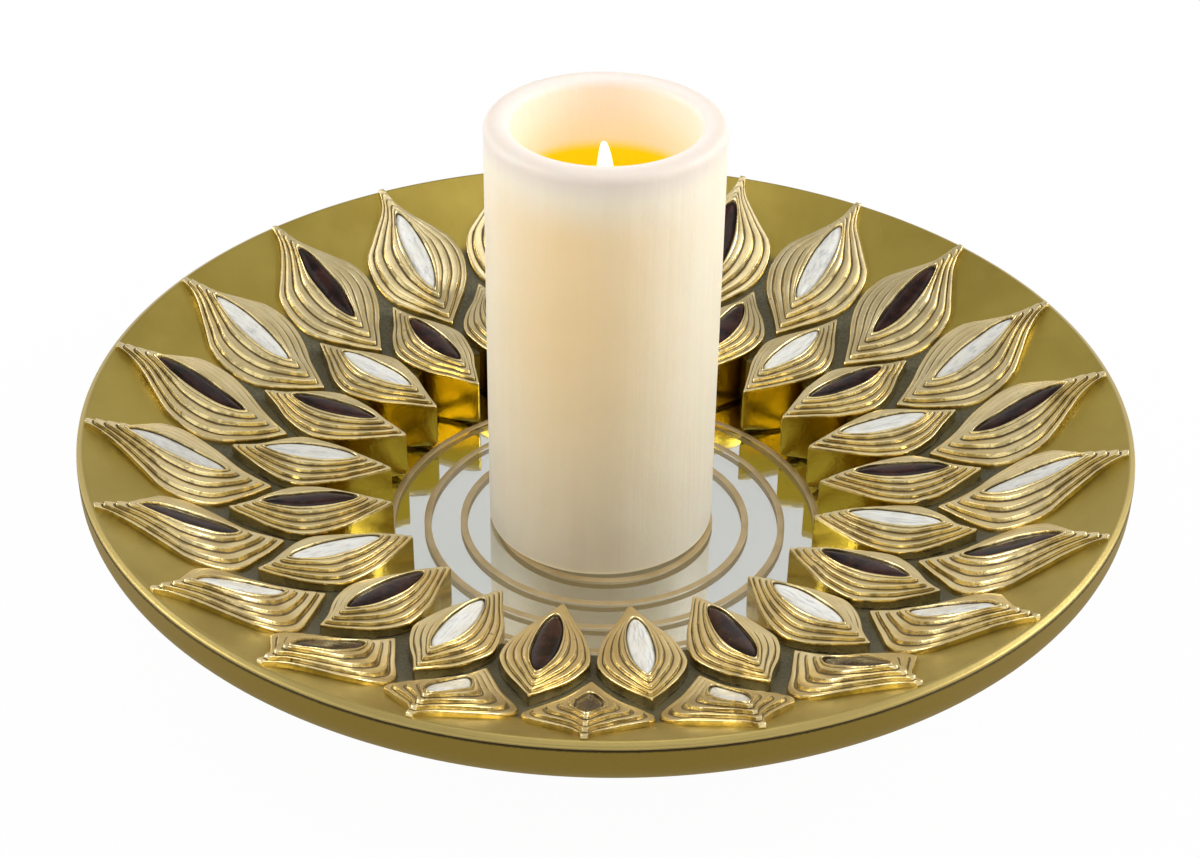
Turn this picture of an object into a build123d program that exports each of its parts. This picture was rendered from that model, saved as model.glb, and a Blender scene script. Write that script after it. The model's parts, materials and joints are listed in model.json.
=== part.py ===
from build123d import *
import os
from math import atan, cos, degrees, radians, sin, sqrt, tan

# Candle plate: a cast bowl with two rows of leaf petals round a mirror, and a pillar
# candle with a moving flame standing on the mirror.
# Millimetres, +Z up. The origin is the centre of the plate at table height,
# and -Y is the front.

# Plate
plate_radius = 177.8
rim_band_round = 8.0
lip_width = 3.0
lip_lean = 0.5
lip_height = 3.4
flange_angle = 28.9
flange_start_share = 0.4
flange_thickness = 8.8
ledge_angle = 6.0
ledge_height = 26.1
foot_wall = 6.2
foot_width = 13.0
foot_wall_height = 8.0
floor_thickness = 3.0

# Felt pads stuck under the foot
foot_pad_count = 4
foot_pad_length = 18.0
foot_pad_width = 9.0
foot_pad_corner = 1.5
foot_pad_thickness = 1.5

# Mirror and the foam pads under it
glass_radius = 96.5
glass_thickness = 3.0
glass_gap = 0.3
glass_top = 10.0
mirror_pad_size = 24.0
mirror_pad_thickness = 0.8
mirror_pad_count = 6
mirror_pad_circle = 60.0

# Petal rows, with places as shares of the slope from the mirror's edge to the rim
petals_per_row = 22
outer_row_turn = -1.58
outer_petal_start_share = 0.228
outer_petal_thickness = 4.4
outer_neck_hollow = 0.9
inner_petal_overhang = 22.0
inner_petal_thickness = 4.9
inner_neck_hollow = 0.2
petal_side_gap = 0.9
petal_tip_half_width = 0.5
petal_seat_gap = 0.1
petal_glass_gap = 0.1
terrace_rise = 1.3

# Petal outline points, as shares of the length from the inner end and of the half width
outer_shoulder_shares = (0.32, 0.83)
outer_belly_shares = (0.49, 1.0)
outer_neck_shares = (0.71, 0.69)
inner_shoulder_shares = (0.33, 0.75)
inner_belly_shares = (0.54, 1.0)
inner_neck_shares = (0.77, 0.69)
terrace_start_shares = (0.092, 0.186)
terrace_end_shares = (0.932, 0.815)
terrace_width_shares = (0.66, 0.425)
belly_facets = 2
neck_facets = 2
terrace_facets = 3

# Gems, let into the top terrace
gem_start_share = 0.255
gem_end_share = 0.745
gem_width_share = 0.205
gem_facets = 3
gem_gap = 0.15
gem_pocket_depth = 1.2
gem_stand_proud = 0.7

# Candle, standing a little behind the centre of the mirror
candle_offset_x = -1.5
candle_offset_y = 4.5
candle_radius = 39.2
candle_height = 152.0
candle_seat_gap = 0.05
wax_wall = 9.0
wax_rim_outer_round = 3.4
wax_rim_inner_round = 3.0
well_depth = 31.0

# Plastic core of the candle: two side walls joined by a shelf
core_gap = 0.25
core_wall = 2.4
shelf_thickness = 2.0
shelf_depth = 25.0
well_plate_thickness = 1.5
flame_slot_length = 9.0
flame_slot_width = 3.2

# Flame and its drive
flame_rise = 23.4
flame_half_width = 3.2
flame_belly_share = 0.35
flame_shoulder_shares = (0.62, 0.84)
flame_facets = 4
flame_thickness = 0.8
flame_tail_half_width = 2.2
flame_tail_length = 9.5
pivot_depth = 4.0
pivot_wire_radius = 0.4
pivot_running_gap = 0.1
magnet_length = 6.0
magnet_width = 3.0
magnet_height = 3.0
magnet_coil_gap = 1.2
coil_size = 16.0
coil_hole_size = 8.0
board_length = 40.0
board_width = 30.0
board_side_gap = 0.3
board_corner = 4.0
board_thickness = 1.6
board_seat_gap = 0.05
led_radius = 2.5
led_length = 7.5
led_lead_size = 0.6
led_lead_pitch = 2.5
led_distance = 11.0
led_turn = -60.0
led_lean = 25.0
led_depth = 6.5
led_hole_gap = 0.4

# Battery bay, cells and contacts
bay_offset_y = -4.0
bay_wall = 1.6
bay_side_gap = 0.4
cell_radius = 7.15
cell_length = 49.0
cell_gap = 0.3
contact_thickness = 0.5
contact_size = 9.0
contact_seat_gap = 0.05
bridge_length = 24.0
bridge_width = 6.0
leaf_rise = 3.6
leaf_half_length = 5.0
leaf_width = 4.0

# Base cap, sliding battery cover and switch
cap_thickness = 2.6
cap_recess = 1.0
cover_travel = 3.0
cover_gap = 0.2
cover_running_gap = 0.1
cover_tongue_reach = 1.0
cover_tongue_thickness = 1.2
cover_grip_width = 3.0
cover_grip_depth = 0.6
switch_offset_y = 10.0
switch_length = 5.0
switch_width = 3.4
switch_travel = 3.6
switch_gap = 0.25
switch_recess = 0.2
switch_body_length = 12.0
switch_body_width = 6.0
switch_body_height = 4.4

overrun = 5.0
full_turn = 360.0


# Shared shapes
def eased(corners):
    """Corners, with each rounding and its count of facets laid out as straight cuts."""
    points = []
    for n, (across, up, *easing) in enumerate(corners):
        corner = Vector(across, up)
        if not easing:
            points.append(corner)
            continue
        rounding, facets = easing
        before, after = corners[n - 1], corners[(n + 1) % len(corners)]
        back = (Vector(before[0], before[1]) - corner).normalized()
        ahead = (Vector(after[0], after[1]) - corner).normalized()
        half_angle = radians(back.get_angle(ahead) / 2)
        centre = corner + (back + ahead).normalized() * (rounding / sin(half_angle))
        start = corner + back * (rounding / tan(half_angle)) - centre
        end = corner + ahead * (rounding / tan(half_angle)) - centre
        sweep = start.get_signed_angle(end, Vector(0, 0, 1))
        for step in range(facets + 1):
            points.append(centre + start.rotate(Axis.Z, sweep * step / facets))
    return points


def turned(*corners):
    """A solid of revolution about Z; a corner is radius and height, or those and an easing."""
    points = [(point.X, 0, point.Y) for point in eased(corners)]
    return revolve(make_face(Polyline(*points, close=True)), Axis.Z)


def rod(radius, bottom, top):
    return extrude(Plane.XY.offset(bottom) * Circle(radius), top - bottom)


def block(length, width, bottom, top):
    return extrude(Plane.XY.offset(bottom) * Rectangle(length, width), top - bottom)


def turn(angle):
    return Rot(0, 0, angle)


def ring_of(count, radius, start=0):
    return [turn(start + full_turn / count * n) * Pos(radius, 0, 0) for n in range(count)]


def group(solids):
    return Compound([solid for shape in solids for solid in shape.solids()])


def write(shape, node):
    export_step(shape, f"parts/{node}.step")


# Radii and heights of the foot, the petal ledge and the sloping flange
ledge_inner_radius = glass_radius + glass_gap
lip_inner_radius = plate_radius - lip_width
slope_width = plate_radius - ledge_inner_radius
flange_start_radius = ledge_inner_radius + flange_start_share * slope_width
foot_outer_radius = ledge_inner_radius + foot_wall
foot_inner_radius = foot_outer_radius - foot_width
foot_bottom = foot_pad_thickness
mirror_bed = glass_top - glass_thickness - mirror_pad_thickness


def ledge_at(radius):
    return ledge_height + (radius - ledge_inner_radius) * tan(radians(ledge_angle))


def flange_at(radius):
    rise = (radius - flange_start_radius) * tan(radians(flange_angle))
    return ledge_at(flange_start_radius) + rise


rim_height = flange_at(lip_inner_radius) + lip_height


# Plate body: one casting, turned about Z
def plate_body():
    band_foot = flange_at(plate_radius) - flange_thickness / cos(radians(flange_angle))
    floor_under = mirror_bed - floor_thickness
    return turned(
        (0, mirror_bed),
        (ledge_inner_radius, mirror_bed),
        (ledge_inner_radius, ledge_height),
        (flange_start_radius, ledge_at(flange_start_radius)),
        (lip_inner_radius, flange_at(lip_inner_radius)),
        (lip_inner_radius + lip_lean, rim_height),
        (plate_radius, rim_height),
        (plate_radius, band_foot, rim_band_round, 1),
        (foot_outer_radius, foot_bottom + foot_wall_height),
        (foot_outer_radius, foot_bottom),
        (foot_inner_radius, foot_bottom),
        (foot_inner_radius, floor_under),
        (0, floor_under),
    )


def foot_pads():
    outline = chamfer(Rectangle(foot_pad_width, foot_pad_length).vertices(), foot_pad_corner)
    pad = extrude(outline, foot_pad_thickness)
    circle = foot_inner_radius + foot_width / 2
    places = ring_of(foot_pad_count, circle, full_turn / foot_pad_count / 2)
    return group(place * pad for place in places)


# Mirror glass and the foam pads under it
def mirror_glass():
    return rod(glass_radius, glass_top - glass_thickness, glass_top)


def mirror_pads():
    pad = block(mirror_pad_size, mirror_pad_size, mirror_bed, mirror_bed + mirror_pad_thickness)
    return group(place * pad for place in ring_of(mirror_pad_count, mirror_pad_circle))


# Petals. A petal lies along +X: its outline is a leaf with a pointed inner end, a round
# belly and a hollow neck that runs out to the tip. The carving is in flat cuts.
class Row:
    def __init__(self, inner, outer, belly_share, thickness, hollow, outline_shares):
        half_pitch = radians(full_turn / petals_per_row / 2)
        self.inner = inner
        self.outer = outer
        self.length = outer - inner
        self.half_width = (inner + belly_share * self.length) * tan(half_pitch) - petal_side_gap
        self.thickness = thickness
        self.hollow = hollow
        self.outline_shares = outline_shares
        self.top = thickness + terrace_rise * len(terrace_width_shares)

    def point(self, shares):
        along, across = shares
        return self.inner + along * self.length, across * self.half_width

    def line(self, lift):
        """Side line along a petal, a height above the ledge and the flange."""
        start, end = self.inner - overrun, self.outer + overrun
        if self.outer < lip_inner_radius - overrun:
            return [(start, ledge_at(start) + lift), (end, ledge_at(end) + lift)]
        bend = (flange_start_radius, ledge_at(flange_start_radius) + lift)
        return [(start, ledge_at(start) + lift), bend, (end, flange_at(end) + lift)]

    def under(self, lift, bottom):
        """Everything under the side line, down to a level."""
        line = self.line(lift)
        corners = [*line, (line[-1][0], bottom), (line[0][0], bottom)]
        side = make_face(Polyline(*[(along, 0, up) for along, up in corners], close=True))
        return extrude(side, 2 * self.half_width, both=True)


outer_row = Row(
    ledge_inner_radius + outer_petal_start_share * slope_width,
    lip_inner_radius - petal_seat_gap,
    outer_belly_shares[0],
    outer_petal_thickness,
    outer_neck_hollow,
    (outer_shoulder_shares, outer_belly_shares, outer_neck_shares),
)
inner_row = Row(
    ledge_inner_radius - inner_petal_overhang,
    flange_start_radius - petal_seat_gap,
    inner_belly_shares[0],
    inner_petal_thickness,
    inner_neck_hollow,
    (inner_shoulder_shares, inner_belly_shares, inner_neck_shares),
)
petal_bottom = glass_top + petal_glass_gap
petal_tower = rim_height + 2 * overrun


def cut_points(curve, facets):
    return [curve @ (n / facets) for n in range(facets + 1)]


def both_sides(side):
    """An outline from one side's points, mirrored over the middle line."""
    other = [(point.X, -point.Y) for point in reversed(side) if point.Y]
    return make_face(Polyline(*[(point.X, point.Y) for point in side], *other, close=True))


def leaf(row):
    shoulder, belly, neck = [row.point(shares) for shares in row.outline_shares]
    tip = (row.outer, petal_tip_half_width)
    middle = ((neck[0] + tip[0]) / 2, (neck[1] + tip[1]) / 2 - row.hollow)
    belly_points = cut_points(ThreePointArc(shoulder, belly, neck), belly_facets)
    neck_points = cut_points(ThreePointArc(neck, middle, tip), neck_facets)
    return both_sides([Vector(row.inner, 0), *belly_points, *neck_points[1:]])


def almond(start, end, half_width, facets):
    side = cut_points(ThreePointArc((start, 0), ((start + end) / 2, half_width), (end, 0)), facets)
    return both_sides([Vector(start, 0), *side[1:-1], Vector(end, 0)])


def petal(row, bed):
    shape = extrude(leaf(row), petal_tower) & row.under(row.thickness, petal_bottom)
    steps = zip(terrace_start_shares, terrace_end_shares, terrace_width_shares)
    for level, (start, end, width) in enumerate(steps, start=1):
        near, _ = row.point((start, 0))
        far, half_width = row.point((end, width))
        column = extrude(almond(near, far, half_width, terrace_facets), petal_tower)
        shape += column & row.under(row.thickness + level * terrace_rise, petal_bottom)
    shape -= bed
    return shape - (gem_column(row, gem_gap) - row.under(row.top - gem_pocket_depth, 0))


def gem_column(row, gap=0):
    near, _ = row.point((gem_start_share, 0))
    far, half_width = row.point((gem_end_share, gem_width_share))
    return extrude(almond(near - gap, far + gap, half_width + gap, gem_facets), petal_tower)


def gem(row):
    shape = gem_column(row) & row.under(row.top + gem_stand_proud, 0)
    return shape - row.under(row.top - gem_pocket_depth, 0)


def curve_rise(row, height_at, belly_share):
    """How much the casting climbs round its curve, from a petal's middle to its side."""
    belly = row.inner + belly_share * row.length
    return height_at(sqrt(belly**2 + row.half_width**2)) - height_at(belly)


def outer_bed():
    """Two slopes tilted up to the sides, so that the underside follows the flange."""
    rise = curve_rise(outer_row, flange_at, outer_belly_shares[0])
    tilt = degrees(atan(rise / outer_row.half_width))
    slope = outer_row.under(petal_seat_gap, 0)
    return Rot(tilt, 0, 0) * slope + Rot(-tilt, 0, 0) * slope


def inner_bed():
    """One slope over the ledge, from the heel that keeps clear of the ledge's inner edge."""
    heel = sqrt((ledge_inner_radius - petal_seat_gap) ** 2 - inner_row.half_width**2)
    rise = curve_rise(inner_row, ledge_at, inner_belly_shares[0])
    slope = inner_row.under(petal_seat_gap + rise, 0)
    return slope & Pos(heel + plate_radius, 0, 0) * block(2 * plate_radius, plate_radius, 0, petal_tower)


def row_turns(start, every=1):
    pitch = full_turn / petals_per_row
    front = -full_turn / 4
    return [turn(front + start + n * pitch) for n in range(0, petals_per_row, every)]


def petal_rows():
    pitch = full_turn / petals_per_row
    rows = (
        ("outer", outer_row, outer_bed(), outer_row_turn),
        ("inner", inner_row, inner_bed(), outer_row_turn - pitch / 2),
    )
    for name, row, bed, start in rows:
        shape = petal(row, bed)
        write(group(place * shape for place in row_turns(start)), f"{name}_petals")
        stone = gem(row)
        write(group(place * stone for place in row_turns(start, 2)), f"{name}_gems_dark")
        write(group(place * stone for place in row_turns(start + pitch, 2)), f"{name}_gems_pearl")


# Candle wax: a straight bore holds the core, and the well is its open top
candle_bottom = glass_top + candle_seat_gap
candle_top = candle_bottom + candle_height
wax_bore_radius = candle_radius - wax_wall
core_radius = wax_bore_radius - core_gap
well_floor = candle_top - well_depth
core_top = well_floor - well_plate_thickness
shelf_top = well_floor - shelf_depth
board_top = shelf_top + board_seat_gap + board_thickness
cap_low = candle_bottom + cap_recess
cap_top = cap_low + cap_thickness
core_inside = board_width / 2 + board_side_gap


def wax_shell():
    return turned(
        (wax_bore_radius, candle_bottom),
        (candle_radius, candle_bottom),
        (candle_radius, candle_top, wax_rim_outer_round, 1),
        (wax_bore_radius, candle_top, wax_rim_inner_round, 1),
    )


def well_plate():
    plate = rod(core_radius, core_top, well_floor)
    plate -= block(flame_slot_length, flame_slot_width, core_top - overrun, well_floor + overrun)
    return plate - led_place() * rod(led_radius + led_hole_gap, 0, led_length + 2 * overrun)


def candle_core():
    outside = core_inside + core_wall
    length = 2 * sqrt(core_radius**2 - outside**2)
    wall = block(length, core_wall, cap_top, core_top)
    core = block(board_length, 2 * core_inside, shelf_top - shelf_thickness, shelf_top)
    for side in (-1, 1):
        core += Pos(0, side * (core_inside + core_wall / 2), 0) * wall
    return core


pivot_height = well_floor - pivot_depth


def pivot_rod(gap=0):
    wire = extrude(Plane.XZ * Circle(pivot_wire_radius + gap), core_inside, both=True)
    return Pos(0, 0, pivot_height) * wire


def circuit_board():
    outline = chamfer(Rectangle(board_length, board_width).vertices(), board_corner)
    return extrude(Plane.XY.offset(shelf_top + board_seat_gap) * outline, board_thickness)


# Flame blade: a flat leaf above the floor of the well and a straight tail below it
tail_foot = pivot_height - flame_tail_length


def flame_blade():
    waist = (flame_tail_half_width, well_floor)
    belly = (flame_half_width, well_floor + flame_belly_share * flame_rise)
    across, up = flame_shoulder_shares
    shoulder = (across * flame_half_width, well_floor + up * flame_rise)
    curve = cut_points(ThreePointArc(waist, belly, shoulder), flame_facets)
    side = [(flame_tail_half_width, tail_foot), *[(point.X, point.Y) for point in curve]]
    other = [(-across, up) for across, up in reversed(side)]
    outline = make_face(Polyline(*side, (0, well_floor + flame_rise), *other, close=True))
    blade = extrude(Plane.XZ * outline, flame_thickness / 2, both=True)
    return blade - pivot_rod(pivot_running_gap)


def flame_magnet():
    return block(magnet_length, magnet_width, tail_foot - magnet_height, tail_foot)


def drive_coil():
    coil_top = tail_foot - magnet_height - magnet_coil_gap
    coil = block(coil_size, coil_size, board_top, coil_top)
    return coil - block(coil_hole_size, coil_hole_size, board_top, coil_top)


# Lamp: stands on its leads beside the pivot wire and leans towards the flame
def led_place():
    return turn(led_turn) * Pos(led_distance, 0, well_floor - led_depth) * Rot(0, -led_lean, 0)


def led():
    lamp = led_place() * rod(led_radius, 0, led_length)
    leads_top = well_floor - led_depth + led_radius * sin(radians(led_lean))
    for side in (-1, 1):
        lead = block(led_lead_size, led_lead_size, board_top, leads_top)
        lamp += turn(led_turn) * Pos(led_distance, side * led_lead_pitch / 2, 0) * lead
    return lamp


# Battery bay: a box over the cover's opening, with two cells standing side by side in it
bay_place = Pos(0, bay_offset_y, 0)
bay_length = 4 * cell_radius + cell_gap + 2 * bay_side_gap
bay_width = 2 * cell_radius + 2 * bay_side_gap
cover_top = cap_top - cover_running_gap
leaf_low = cover_top + contact_thickness
cell_low = leaf_low + leaf_rise + contact_thickness + contact_seat_gap
contact_low = cell_low + cell_length
bay_top = contact_low + contact_thickness


def battery_bay():
    outside = block(bay_length + 2 * bay_wall, bay_width + 2 * bay_wall, cap_top, bay_top + bay_wall)
    return bay_place * (outside - block(bay_length, bay_width, cap_top, bay_top))


def cell_sides():
    half = cell_radius + cell_gap / 2
    return bay_place * Pos(-half, 0, 0), bay_place * Pos(half, 0, 0)


def batteries():
    cell = rod(cell_radius, cell_low, contact_low)
    return group(place * cell for place in cell_sides())


def battery_contacts():
    plate = block(contact_size, contact_size, contact_low, bay_top)
    return group(place * plate for place in cell_sides())


# Sliding battery cover: a plate with a tongue along each side, and its contact bridge
cover_length = bay_length - 2 * cover_tongue_reach
cover_opening_width = bay_width + cover_travel
tongue_low = cap_top - cover_tongue_thickness


def battery_cover():
    width = bay_width - 2 * cover_gap
    cover = block(cover_length - 2 * cover_gap, width, cap_low, cover_top)
    cover += block(bay_length - 2 * cover_gap, width, tongue_low + cover_gap, cover_top)
    grip = block(cover_length / 2, cover_grip_width, cap_low, cap_low + cover_grip_depth)
    return bay_place * (cover - grip)


def cover_contact():
    bridge = block(bridge_length, bridge_width, cover_top, leaf_low)
    line = [(-leaf_half_length, 0), (0, leaf_rise), (leaf_half_length, 0)]
    raised = [(along, up + contact_thickness) for along, up in reversed(line)]
    outline = make_face(Polyline(*[(along, 0, up) for along, up in line + raised], close=True))
    leaf_spring = Pos(0, 0, leaf_low) * extrude(outline, leaf_width / 2, both=True)
    bridge = bay_place * bridge
    for place in cell_sides():
        bridge += place * leaf_spring
    return bridge


# Base cap with the cover's grooved opening and the switch slot
switch_place = Pos(0, switch_offset_y, 0)


def base_cap():
    cap = rod(core_radius, cap_low, cap_top)
    opening_place = Pos(0, bay_offset_y - cover_travel / 2, 0)
    cap -= opening_place * block(cover_length, cover_opening_width, cap_low, cap_top)
    cap -= opening_place * block(bay_length, cover_opening_width, tongue_low, cap_top)
    slot_length = switch_length + switch_travel + 2 * switch_gap
    slot = block(slot_length, switch_width + 2 * switch_gap, cap_low, cap_top)
    return cap - Pos(switch_travel / 2, 0, 0) * switch_place * slot


def switch_slider():
    return switch_place * block(switch_length, switch_width, cap_low + switch_recess, cap_top - switch_gap / 2)


def switch_body():
    body = block(switch_body_length, switch_body_width, cap_top, cap_top + switch_body_height)
    return Pos(switch_travel / 2, 0, 0) * switch_place * body


candle_place = Pos(candle_offset_x, candle_offset_y, 0)
plate_pieces = (plate_body, foot_pads, mirror_glass, mirror_pads)
candle_pieces = (
    wax_shell,
    well_plate,
    candle_core,
    circuit_board,
    drive_coil,
    led,
    flame_blade,
    flame_magnet,
    battery_bay,
    batteries,
    battery_contacts,
    base_cap,
    battery_cover,
    cover_contact,
    switch_slider,
    switch_body,
)

os.makedirs("parts", exist_ok=True)
for piece in plate_pieces:
    write(piece(), piece.__name__)
petal_rows()
for piece in candle_pieces:
    write(candle_place * piece(), piece.__name__)
write(candle_place * pivot_rod(), "flame_pivot")
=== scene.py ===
# %% [markdown]
# # Candle plate
# A round gilt plate carries two rows of leaf petals round a mirror, and a pillar candle
# with a small moving flame stands on the mirror. The solids come in as a fixed frame, so
# each piece made here is placed by the same measures that the solids have. The scene is in
# metres, +Z is up, and the viewer of the photograph looks along +Y.

# %% Load the frame
import json
import math
import bmesh
import bpy
from mathutils import Matrix, Vector


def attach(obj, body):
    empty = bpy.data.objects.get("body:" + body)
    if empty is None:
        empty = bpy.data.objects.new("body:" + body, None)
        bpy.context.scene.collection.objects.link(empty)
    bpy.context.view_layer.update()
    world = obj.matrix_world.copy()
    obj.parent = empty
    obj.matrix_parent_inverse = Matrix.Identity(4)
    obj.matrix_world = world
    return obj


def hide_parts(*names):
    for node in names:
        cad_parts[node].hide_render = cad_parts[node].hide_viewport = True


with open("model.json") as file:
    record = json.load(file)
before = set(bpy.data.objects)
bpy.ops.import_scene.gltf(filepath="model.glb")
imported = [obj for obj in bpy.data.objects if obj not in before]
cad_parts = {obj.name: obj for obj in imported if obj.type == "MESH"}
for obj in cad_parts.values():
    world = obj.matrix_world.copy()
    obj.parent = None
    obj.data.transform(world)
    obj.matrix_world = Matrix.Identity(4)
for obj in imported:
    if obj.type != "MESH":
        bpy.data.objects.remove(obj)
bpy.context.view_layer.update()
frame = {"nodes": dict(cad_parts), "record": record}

mm = 0.001

# %% [markdown]
# ## Sizes
# Measures are in millimetres here, and become metres when points are made. They follow the
# solids, except that the flange is steeper, because the lip of the real plate stands a
# little higher. The casting's upper side is asked for by many pieces, so it is a function
# of the distance from the middle.

# %% Sizes
glass_edge, glass_top, mirror_bed = 96.8, 10.0, 6.2
ledge_height, ledge_slope = 26.1, math.tan(math.radians(6.0))
flange_start, flange_slope = 129.2, math.tan(math.radians(33.2))
flange_foot = ledge_height + (flange_start - glass_edge) * ledge_slope
lip_radius, rim_radius = 175.4, 177.75
candle_x, candle_y, candle_low, candle_top = -1.5, 4.5, 10.05, 162.0
petals_in_row, pitch = 22, 2 * math.pi / 22


def bed_height(radius):
    """Height of the casting's upper side, in millimetres."""
    if radius < flange_start:
        return ledge_height + (radius - glass_edge) * ledge_slope
    return flange_foot + (radius - flange_start) * flange_slope


print("lip stands at", round(bed_height(lip_radius), 2), "mm")

# %% [markdown]
# ## Camera
# The photograph was taken with a long lens from about 33 degrees above the table. A
# camera needs only its place and three directions: right, up and back. They are worked
# out from two angles and a small roll, which is easier to adjust than a rotation.

# %% Camera
camera_rise, camera_turn, camera_roll = math.radians(33.281), math.radians(0.111), math.radians(0.802)
camera_distance = 769.21 * mm
camera_target = Vector((-2.03, 0.0, 47.37)) * mm
back = Vector((math.sin(camera_turn) * math.cos(camera_rise),
               -math.cos(camera_turn) * math.cos(camera_rise), math.sin(camera_rise)))
level = Vector((math.cos(camera_turn), math.sin(camera_turn), 0.0))
over = back.cross(level)
right = level * math.cos(camera_roll) + over * math.sin(camera_roll)
up = over * math.cos(camera_roll) - level * math.sin(camera_roll)
lens = bpy.data.cameras.new("photo_lens")
lens.sensor_width = 36.0
lens.lens = 67.01
lens.clip_start, lens.clip_end = 0.01, 50.0
camera = bpy.data.objects.new("photo_camera", lens)
turned = Matrix((right, up, back)).transposed().to_4x4()
camera.matrix_world = Matrix.Translation(camera_target + back * camera_distance) @ turned
bpy.context.scene.collection.objects.link(camera)
bpy.context.scene.camera = camera
print("camera stands at", [round(v, 4) for v in camera.matrix_world.translation])

# %% [markdown]
# ## A way to write finishes
# A finish is a network of nodes, and a long one is hard to read as node by node calls.
# A small class wraps one output socket, so that sums and products on it add the Math
# nodes by themselves. Colours and vectors have calls of their own, because a Math node
# would turn a colour grey. The same calls write the sky and the tree of the petal rows.

# %% Values in a finish
class Value:
    """One output socket, with arithmetic that adds nodes."""

    def __init__(self, network, socket):
        self.network, self.socket = network, socket

    def math(self, operation, *others):
        inputs = dict(enumerate((self, *others)))
        return self.network.node("ShaderNodeMath", {"operation": operation}, inputs)

    def reflected(self, operation, other):
        return self.network.node("ShaderNodeMath", {"operation": operation}, {0: other, 1: self})

    def __add__(self, other): return self.math("ADD", other)
    def __sub__(self, other): return self.math("SUBTRACT", other)
    def __mul__(self, other): return self.math("MULTIPLY", other)
    def __pow__(self, other): return self.math("POWER", other)
    def __radd__(self, other): return self.reflected("ADD", other)
    def __rsub__(self, other): return self.reflected("SUBTRACT", other)
    def __rmul__(self, other): return self.reflected("MULTIPLY", other)
    def __rtruediv__(self, other): return self.reflected("DIVIDE", other)

    def ramp(self, low, high):
        """0 at low, 1 at high and smooth between, so it draws soft masks."""
        value, from_low, from_high, to_low, to_high = range(5)
        inputs = {value: self, from_low: low, from_high: high, to_low: 0.0, to_high: 1.0}
        return self.network.node("ShaderNodeMapRange", {"interpolation_type": "SMOOTHSTEP"}, inputs)


class Network:
    """The nodes of any tree, with a call for each kind that is used often."""

    def __init__(self, tree):
        self.tree, self.place = tree, None

    def feed(self, socket, value):
        if isinstance(value, Value):
            self.tree.links.new(value.socket, socket)
        elif hasattr(socket.default_value, "__len__"):
            wanted = len(socket.default_value)
            socket.default_value = (tuple(value) + (1.0,) * wanted)[:wanted]
        else:
            socket.default_value = value

    def node(self, kind, settings=None, inputs=None, out=0):
        """Any node: its settings first, then the values or links of its sockets."""
        node = self.tree.nodes.new(kind)
        for name, setting in (settings or {}).items():
            setattr(node, name, setting)
        for name, value in (inputs or {}).items():
            self.feed(node.inputs[name], value)
        return Value(self, node.outputs[out])

    def mix(self, share, one, other):
        """One colour turning into another, by the Mix node's sockets for colours."""
        factor, first, second, colour = 0, 6, 7, 2
        settings = {"data_type": "RGBA", "clamp_factor": True}
        return self.node("ShaderNodeMix", settings, {factor: share, first: one, second: other}, colour)

    def vector(self, operation, one, other):
        return self.node("ShaderNodeVectorMath", {"operation": operation}, {0: one, 1: other})

    def axis(self, name, place=None):
        return self.node("ShaderNodeSeparateXYZ", None, {0: place or self.place}, out=name)

    def noise(self, size, detail=2.0, place=None, stretch=None, roughness=0.5):
        """Cloudy noise with patches about this big, in metres."""
        place = place or self.place
        if stretch:
            place = self.vector("MULTIPLY", place, stretch)
        inputs = {"Vector": place, "Scale": 1.0 / size, "Detail": detail, "Roughness": roughness}
        return self.node("ShaderNodeTexNoise", None, inputs)

    def bump(self, height, depth, under=None):
        """Relief of this depth in metres, over another bump if there is one."""
        inputs = {"Height": height, "Distance": depth, "Strength": 1.0}
        if under:
            inputs["Normal"] = under
        return self.node("ShaderNodeBump", None, inputs)


class Finish(Network):
    """A material under construction, round one Principled shader."""

    def __init__(self, name):
        self.material = bpy.data.materials.new(name)
        self.material.use_nodes = True
        super().__init__(self.material.node_tree)
        self.tree.nodes.clear()
        self.surface = self.tree.nodes.new("ShaderNodeBsdfPrincipled")
        self.end = self.tree.nodes.new("ShaderNodeOutputMaterial")
        self.tree.links.new(self.surface.outputs[0], self.end.inputs["Surface"])
        self.place = self.node("ShaderNodeTexCoord", out="Object")

    def finish(self, **sockets):
        """Set the shader's own sockets and hand over the material."""
        for name, value in sockets.items():
            self.feed(self.surface.inputs[name.replace("_", " ")], value)
        return self.material


print("finishes are written with", len(vars(Network)) + len(vars(Value)), "calls and signs")

# %% [markdown]
# ## Turned shapes
# The casting, the glass and the wax are all turned round Z. A lathe in mesh code takes a
# line of (radius, height) points. The corners are rounded first, with as many points as
# the eye needs. A point just before and just after each rounding keeps the flat faces
# beside it flat in the shading, which matters most on a mirror.

# %% Lathe
beside_rounding = 0.15
crease, same_point = math.radians(62), 1e-7


def rounded(corners, steps):
    """Corners of (radius, height, rounding) laid out with smooth curves."""
    line = []
    for n, (radius, height, rounding) in enumerate(corners):
        corner = Vector((radius, height))
        if not rounding or n in (0, len(corners) - 1):
            line.append(corner)
            continue
        before = (Vector(corners[n - 1][:2]) - corner).normalized()
        after = (Vector(corners[n + 1][:2]) - corner).normalized()
        reach = rounding / math.tan(before.angle(after) / 2)
        start, end = corner + before * reach, corner + after * reach
        line.append(start + before * beside_rounding)
        for step in range(steps + 1):
            share = step / steps
            line.append(start.lerp(corner, share).lerp(corner.lerp(end, share), share))
        line.append(end + after * beside_rounding)
    return [(point.x, point.y) for point in line]


def ring_faces(rings, count, closed=False):
    """Faces between rings of count points; a closed skin joins the last ring to the first."""
    faces = []
    for ring in range(rings if closed else rings - 1):
        this, following = ring * count, (ring + 1) % rings * count
        for n in range(count):
            beside = (n + 1) % count
            faces.append((this + n, this + beside, following + beside, following + n))
    return faces


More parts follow.
